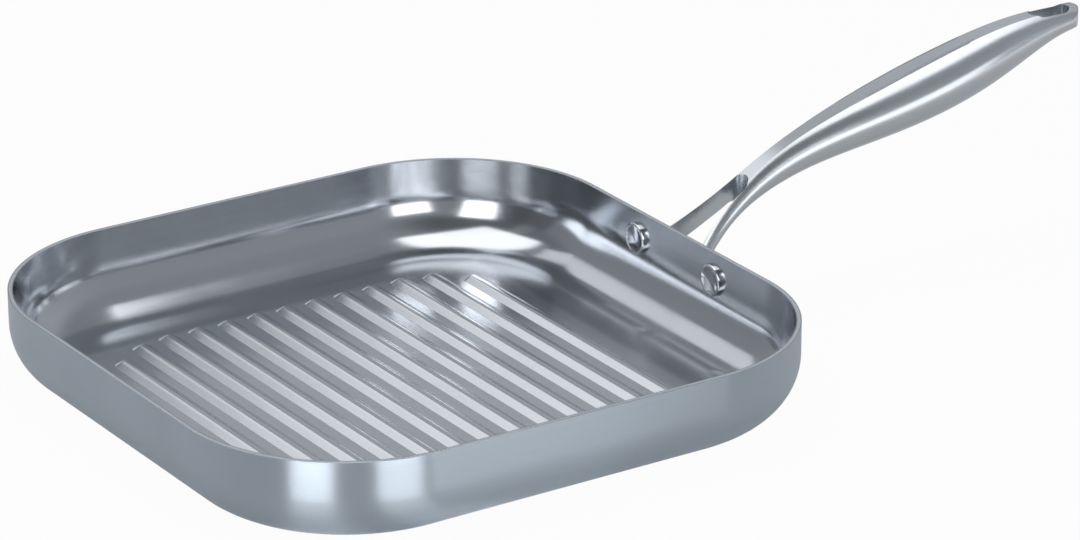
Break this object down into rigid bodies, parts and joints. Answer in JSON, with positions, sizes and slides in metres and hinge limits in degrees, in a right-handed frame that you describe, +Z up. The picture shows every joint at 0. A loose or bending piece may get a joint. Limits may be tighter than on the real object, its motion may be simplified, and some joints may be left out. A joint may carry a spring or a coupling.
{
  "type": "square grill pan",
  "caption": "Square stainless steel grill pan with ribs pressed through its base and a riveted hollow fork handle that ends in a hanging eye.",
  "frame": {"origin": "middle of the pan's base, on the surface that it stands on", "axes": "+Z up, +X from the pan's middle along the handle, +Y across the pan, along the ribs"},
  "size_m": [0.4925, 0.28, 0.1024],
  "materials": {
    "outer_steel": "satin, brushed along the wall",
    "core_aluminium": "cut edge at the rim",
    "cooking_steel": "polished, finely brushed",
    "bracket_steel": "satin polished",
    "handle_steel": "satin polished, brushed along the handle",
    "rivet_steel": "bright polished"
  },
  "bodies": {
    "root": {"outer_ply": "outer_steel", "aluminium_core": "core_aluminium", "inner_ply": "cooking_steel", "mounting_bracket": "bracket_steel", "handle_left_shell": "handle_steel", "handle_right_shell": "handle_steel", "hanging_eye_sleeve": "handle_steel", "rivet_left": "rivet_steel", "rivet_right": "rivet_steel"}
  },
  "joints": []
}
